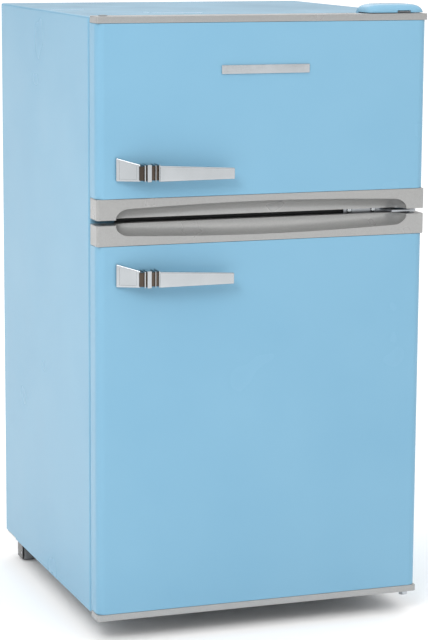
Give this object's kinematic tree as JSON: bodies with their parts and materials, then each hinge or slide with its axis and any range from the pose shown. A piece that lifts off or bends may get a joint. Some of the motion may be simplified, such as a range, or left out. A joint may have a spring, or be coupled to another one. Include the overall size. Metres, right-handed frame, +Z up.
{
  "type": "top freezer refrigerator",
  "caption": "Small under-counter refrigerator with a freezer above and a fridge below, doors hinged on the right, a shared grip recess and fixed chrome pulls.",
  "frame": {"origin": "middle of the overall box seen from above, on the floor that the feet stand on", "axes": "+Z up, the doors face -Y, +X is the hinge side, which is the viewer's right"},
  "size_m": [0.4756, 0.514, 0.866],
  "materials": {
    "blue_enamel": "gloss",
    "silver_plastic": "satin",
    "chrome": "polished",
    "zinc_steel": "satin",
    "white_plastic": "satin",
    "clear_plastic": "gloss",
    "glass": "polished",
    "foam": "matte",
    "grey_rubber": "matte",
    "black_plastic": "matte",
    "black_paint": "satin",
    "copper": "satin"
  },
  "bodies": {
    "cabinet": {"cabinet_shell": "blue_enamel", "back_panel": "zinc_steel", "bay_partition": "zinc_steel", "base_panel": "zinc_steel", "cabinet_foam": "foam", "freezer_liner": "white_plastic", "fridge_liner": "white_plastic", "centre_rail": "zinc_steel", "top_hinge_bracket": "zinc_steel", "top_hinge_screw_1": "zinc_steel", "top_hinge_screw_2": "zinc_steel", "middle_hinge_bracket": "zinc_steel", "middle_hinge_screw_1": "zinc_steel", "middle_hinge_screw_2": "zinc_steel", "bottom_hinge_bracket": "zinc_steel", "hinge_cover": "blue_enamel", "freezer_shelf": "zinc_steel", "fridge_shelf": "glass", "crisper_cover": "glass", "thermostat_housing": "white_plastic", "lamp_lens": "clear_plastic", "lamp_bulb": "glass", "rear_roller_bracket_left": "black_paint", "rear_roller_bracket_right": "black_paint", "compressor_tray": "zinc_steel", "mains_cord_gland": "black_plastic", "compressor": "black_paint", "start_relay_box": "black_plastic", "filter_drier": "copper", "discharge_pipe": "copper", "suction_pipe": "copper", "drip_pan": "black_plastic", "drain_tube": "white_plastic"},
    "freezer_door": {"freezer_door_skin": "blue_enamel", "freezer_door_foam": "foam", "freezer_door_trim": "silver_plastic", "freezer_door_cap": "silver_plastic", "freezer_door_liner": "white_plastic", "freezer_door_gasket": "grey_rubber", "freezer_door_handle": "chrome", "freezer_door_badge": "chrome", "freezer_door_plug": "grey_rubber"},
    "freezer_bin": {"freezer_door_bin": "clear_plastic"},
    "fridge_door": {"fridge_door_skin": "blue_enamel", "fridge_door_foam": "foam", "fridge_door_trim": "silver_plastic", "fridge_door_cap": "silver_plastic", "fridge_door_liner": "white_plastic", "fridge_door_gasket": "grey_rubber", "fridge_door_handle": "chrome"},
    "bottle_bin": {"bottle_bin": "clear_plastic"},
    "middle_bin": {"middle_door_bin": "clear_plastic"},
    "upper_bin": {"upper_door_bin": "clear_plastic"},
    "crisper": {"crisper_drawer": "clear_plastic"},
    "dial": {"thermostat_dial": "white_plastic"},
    "light_switch": {"light_switch_button": "white_plastic"},
    "left_foot": {"levelling_foot_left": "black_plastic"},
    "right_foot": {"levelling_foot_right": "black_plastic"},
    "left_roller": {"rear_roller_left": "grey_rubber"},
    "right_roller": {"rear_roller_right": "grey_rubber"}
  },
  "joints": [
    {"name": "freezer_door_hinge", "type": "hinge", "parent": "cabinet", "child": "freezer_door", "pos_m": [0.2245, -0.217, 0.5807], "axis": [0, 0, 1], "range_deg": [0, 125]},
    {"name": "fridge_door_hinge", "type": "hinge", "parent": "cabinet", "child": "fridge_door", "pos_m": [0.2245, -0.217, 0.5807], "axis": [0, 0, 1], "range_deg": [0, 125]},
    {"name": "freezer_bin_lift", "type": "slide", "parent": "freezer_door", "child": "freezer_bin", "axis": [0, 0, 1], "range_m": [0, 0.02]},
    {"name": "bottle_bin_lift", "type": "slide", "parent": "fridge_door", "child": "bottle_bin", "axis": [0, 0, 1], "range_m": [0, 0.02]},
    {"name": "middle_bin_lift", "type": "slide", "parent": "fridge_door", "child": "middle_bin", "axis": [0, 0, 1], "range_m": [0, 0.02]},
    {"name": "upper_bin_lift", "type": "slide", "parent": "fridge_door", "child": "upper_bin", "axis": [0, 0, 1], "range_m": [0, 0.02]},
    {"name": "crisper_slide", "type": "slide", "parent": "cabinet", "child": "crisper", "axis": [0, -1, 0], "range_m": [0, 0.022]},
    {"name": "thermostat_dial_turn", "type": "hinge", "parent": "cabinet", "child": "dial", "pos_m": [0.1557, -0.048, 0.5286], "axis": [1, 0, 0], "range_deg": [0, 270]},
    {"name": "light_switch_press", "type": "slide", "parent": "cabinet", "child": "light_switch", "axis": [0, 1, 0], "range_m": [0, 0.004], "stiffness_N_per_m": 150},
    {"name": "left_foot_screw", "type": "hinge", "parent": "cabinet", "child": "left_foot", "pos_m": [-0.181, -0.11, 0], "axis": [0, 0, 1], "continuous": true},
    {"name": "right_foot_screw", "type": "hinge", "parent": "cabinet", "child": "right_foot", "pos_m": [0.181, -0.11, 0], "axis": [0, 0, 1], "continuous": true},
    {"name": "left_roller_spin", "type": "hinge", "parent": "cabinet", "child": "left_roller", "pos_m": [-0.2153, 0.212, 0.0115], "axis": [1, 0, 0], "continuous": true},
    {"name": "right_roller_spin", "type": "hinge", "parent": "cabinet", "child": "right_roller", "pos_m": [0.2153, 0.212, 0.0115], "axis": [1, 0, 0], "continuous": true}
  ]
}
